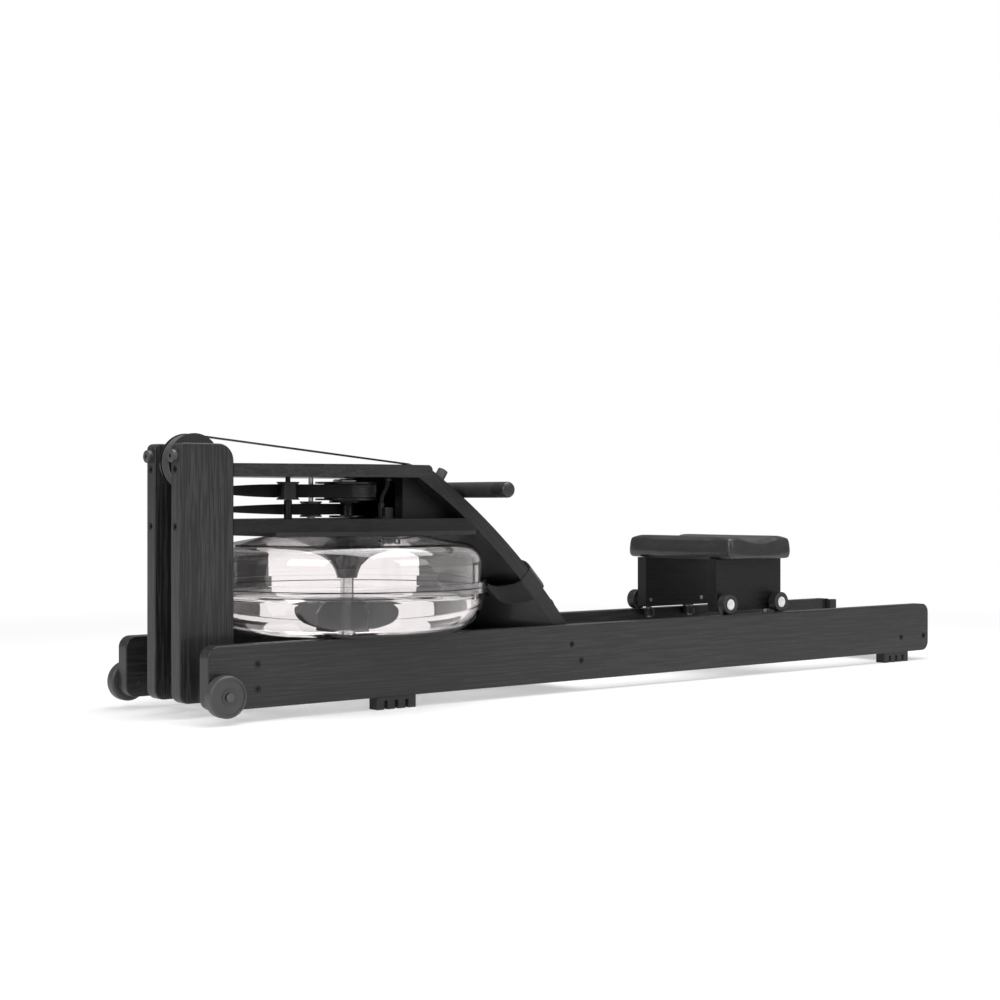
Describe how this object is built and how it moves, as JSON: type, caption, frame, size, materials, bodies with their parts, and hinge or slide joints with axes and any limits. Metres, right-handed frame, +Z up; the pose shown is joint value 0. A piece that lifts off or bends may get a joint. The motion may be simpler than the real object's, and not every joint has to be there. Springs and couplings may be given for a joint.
{
  "type": "rowing machine",
  "caption": "Water-resistance rowing machine: black timber rails, round clear tank with a paddle, sliding seat, footboard and a strap-drawn handle.",
  "frame": {"origin": "on the floor under the middle of the machine's overall length and width", "axes": "+X from the front uprights towards the seat end, +Z up, +Y by the right-hand rule"},
  "size_m": [2.0915, 0.565, 0.5278],
  "materials": {
    "black_ash": "open-grained, stained black, satin lacquer",
    "black_bolt": "blackened",
    "black_plastic": "fine texture",
    "clear_tank": "clear moulded shell",
    "cushion": "padded synthetic cover",
    "gloss_black": "polished",
    "grey_plastic": "fine texture",
    "grey_rubber": "mid grey",
    "grip": "foam sleeve",
    "rubber": "matt black",
    "stainless": "polished",
    "steel": "turned",
    "webbing": "woven polyester"
  },
  "bodies": {
    "frame": {"left_rail": "black_ash", "right_rail": "black_ash", "front_spacers": "black_ash", "rear_crossboard": "black_ash", "left_upright": "black_ash", "right_upright": "black_ash", "bottom_deck": "black_ash", "top_deck": "black_ash", "deck_blocks": "black_ash", "footboard": "black_ash", "footboard_cleat": "black_ash", "frame_bolts": "black_bolt", "rubber_feet": "rubber", "storage_bumpers": "grey_rubber", "tank_bottom": "clear_tank", "tank_top": "clear_tank", "tank_seal": "rubber", "tank_pad": "rubber", "splash_cone": "clear_tank", "shaft_bearings": "steel", "axle_bolts": "steel", "idler_posts": "steel", "drive_strap": "webbing", "recoil_strap": "webbing", "recoil_bungee": "webbing", "speed_sensor": "black_plastic", "sensor_lead": "webbing", "handle_pegs": "grey_plastic", "foot_straps": "webbing", "seat_stops": "rubber"},
    "plug": {"fill_plug": "rubber"},
    "paddle": {"paddle_shaft": "stainless", "paddle_blades": "black_plastic"},
    "drum": {"drive_drum": "gloss_black", "drum_cap": "stainless", "strap_winding": "webbing"},
    "top_pulley": {"top_pulley": "gloss_black"},
    "recoil_pulley": {"recoil_pulley": "gloss_black"},
    "drive_idler": {"drive_idler": "gloss_black"},
    "recoil_idler": {"recoil_idler": "gloss_black"},
    "handle": {"handle_grip": "grip", "handle_caps": "black_plastic", "handle_clevis": "black_plastic", "handle_strap": "webbing"},
    "seat": {"seat_pad": "cushion", "seat_base": "black_ash", "seat_sides": "black_ash", "seat_axles": "steel"},
    "heel_left": {"heel_rest_left": "grey_plastic"},
    "heel_right": {"heel_rest_right": "grey_plastic"},
    "transport_left": {"transport_wheel_left": "grey_plastic"},
    "transport_right": {"transport_wheel_right": "grey_plastic"},
    "seat_wheel_front_left": {"seat_wheel_front_left": "rubber"},
    "seat_wheel_front_right": {"seat_wheel_front_right": "rubber"},
    "seat_wheel_rear_left": {"seat_wheel_rear_left": "rubber"},
    "seat_wheel_rear_right": {"seat_wheel_rear_right": "rubber"},
    "guide_roller_front_left": {"guide_roller_front_left": "black_plastic"},
    "guide_roller_front_right": {"guide_roller_front_right": "black_plastic"},
    "guide_roller_rear_left": {"guide_roller_rear_left": "black_plastic"},
    "guide_roller_rear_right": {"guide_roller_rear_right": "black_plastic"}
  },
  "joints": [
    {"name": "handle_pull", "type": "slide", "parent": "frame", "child": "handle", "axis": [0.9962, 0, 0.0872], "range_m": [0, 1.2], "deforming": ["handle_strap"]},
    {"name": "seat_slide", "type": "slide", "parent": "frame", "child": "seat", "axis": [1, 0, 0], "range_m": [-0.42, 0.47]},
    {"name": "top_pulley_spin", "type": "hinge", "parent": "frame", "child": "top_pulley", "pos_m": [-0.9755, 0, 0.4728], "axis": [0, 1, 0], "range_deg": [0, 1320]},
    {"name": "drum_spin", "type": "hinge", "parent": "frame", "child": "drum", "pos_m": [-0.6195, 0, 0.4205], "axis": [0, 0, 1], "range_deg": [-1133, 0]},
    {"name": "paddle_spin", "type": "hinge", "parent": "frame", "child": "paddle", "pos_m": [-0.6195, 0, 0.141], "axis": [0, 0, 1], "range_deg": [-1133, 0]},
    {"name": "drive_idler_spin", "type": "hinge", "parent": "frame", "child": "drive_idler", "pos_m": [-0.773, -0.0213, 0.4205], "axis": [0, 0, 1], "range_deg": [0, 3233]},
    {"name": "recoil_pulley_spin", "type": "hinge", "parent": "frame", "child": "recoil_pulley", "pos_m": [-0.9755, 0, 0.3612], "axis": [0, 1, 0], "range_deg": [0, 731]},
    {"name": "recoil_idler_spin", "type": "hinge", "parent": "frame", "child": "recoil_idler", "pos_m": [-0.692, 0.0213, 0.3845], "axis": [0, 0, 1], "range_deg": [0, 799]},
    {"name": "seat_wheel_front_left_roll", "type": "hinge", "parent": "seat", "child": "seat_wheel_front_left", "pos_m": [0.3295, 0.1485, 0.1643], "axis": [0, 1, 0], "range_deg": [-1052, 1176]},
    {"name": "seat_wheel_front_right_roll", "type": "hinge", "parent": "seat", "child": "seat_wheel_front_right", "pos_m": [0.3295, -0.1485, 0.1643], "axis": [0, 1, 0], "range_deg": [-1052, 1176]},
    {"name": "seat_wheel_rear_left_roll", "type": "hinge", "parent": "seat", "child": "seat_wheel_rear_left", "pos_m": [0.5025, 0.1485, 0.1643], "axis": [0, 1, 0], "range_deg": [-1052, 1176]},
    {"name": "seat_wheel_rear_right_roll", "type": "hinge", "parent": "seat", "child": "seat_wheel_rear_right", "pos_m": [0.5025, -0.1485, 0.1643], "axis": [0, 1, 0], "range_deg": [-1052, 1176]},
    {"name": "guide_roller_front_left_roll", "type": "hinge", "parent": "seat", "child": "guide_roller_front_left", "pos_m": [0.3465, 0.1247, 0.141], "axis": [0, 0, 1], "range_deg": [-1788, 2000]},
    {"name": "guide_roller_front_right_roll", "type": "hinge", "parent": "seat", "child": "guide_roller_front_right", "pos_m": [0.3465, -0.1247, 0.141], "axis": [0, 0, 1], "range_deg": [-2000, 1788]},
    {"name": "guide_roller_rear_left_roll", "type": "hinge", "parent": "seat", "child": "guide_roller_rear_left", "pos_m": [0.4835, 0.1247, 0.141], "axis": [0, 0, 1], "range_deg": [-1788, 2000]},
    {"name": "guide_roller_rear_right_roll", "type": "hinge", "parent": "seat", "child": "guide_roller_rear_right", "pos_m": [0.4835, -0.1247, 0.141], "axis": [0, 0, 1], "range_deg": [-2000, 1788]},
    {"name": "transport_left_roll", "type": "hinge", "parent": "frame", "child": "transport_left", "pos_m": [-1.009, 0.1855, 0.0515], "axis": [0, 1, 0], "continuous": true},
    {"name": "heel_left_adjust", "type": "hinge", "parent": "frame", "child": "heel_left", "pos_m": [-1.30099, 0.068, -0.77978], "axis": [0, 1, 0], "range_deg": [-1.6, 1.6]},
    {"name": "transport_right_roll", "type": "hinge", "parent": "frame", "child": "transport_right", "pos_m": [-1.009, -0.1855, 0.0515], "axis": [0, 1, 0], "continuous": true},
    {"name": "heel_right_adjust", "type": "hinge", "parent": "frame", "child": "heel_right", "pos_m": [-1.30099, -0.068, -0.77978], "axis": [0, 1, 0], "range_deg": [-1.6, 1.6]},
    {"name": "plug_lift", "type": "slide", "parent": "frame", "child": "plug", "axis": [0, 0, 1], "range_m": [0, 0.06]}
  ],
  "couplings": [
    {"joint": "top_pulley_spin", "follows": "handle_pull", "rad_per_m": 19.12},
    {"joint": "drum_spin", "follows": "handle_pull", "rad_per_m": -16.393},
    {"joint": "paddle_spin", "follows": "handle_pull", "rad_per_m": -16.393},
    {"joint": "drive_idler_spin", "follows": "handle_pull", "rad_per_m": 46.948},
    {"joint": "recoil_pulley_spin", "follows": "handle_pull", "rad_per_m": 10.554},
    {"joint": "recoil_idler_spin", "follows": "handle_pull", "rad_per_m": 11.545},
    {"joint": "seat_wheel_front_left_roll", "follows": "seat_slide", "rad_per_m": 43.478},
    {"joint": "seat_wheel_front_right_roll", "follows": "seat_slide", "rad_per_m": 43.478},
    {"joint": "seat_wheel_rear_left_roll", "follows": "seat_slide", "rad_per_m": 43.478},
    {"joint": "seat_wheel_rear_right_roll", "follows": "seat_slide", "rad_per_m": 43.478},
    {"joint": "guide_roller_front_left_roll", "follows": "seat_slide", "rad_per_m": 74.074},
    {"joint": "guide_roller_front_right_roll", "follows": "seat_slide", "rad_per_m": -74.074},
    {"joint": "guide_roller_rear_left_roll", "follows": "seat_slide", "rad_per_m": 74.074},
    {"joint": "guide_roller_rear_right_roll", "follows": "seat_slide", "rad_per_m": -74.074}
  ]
}
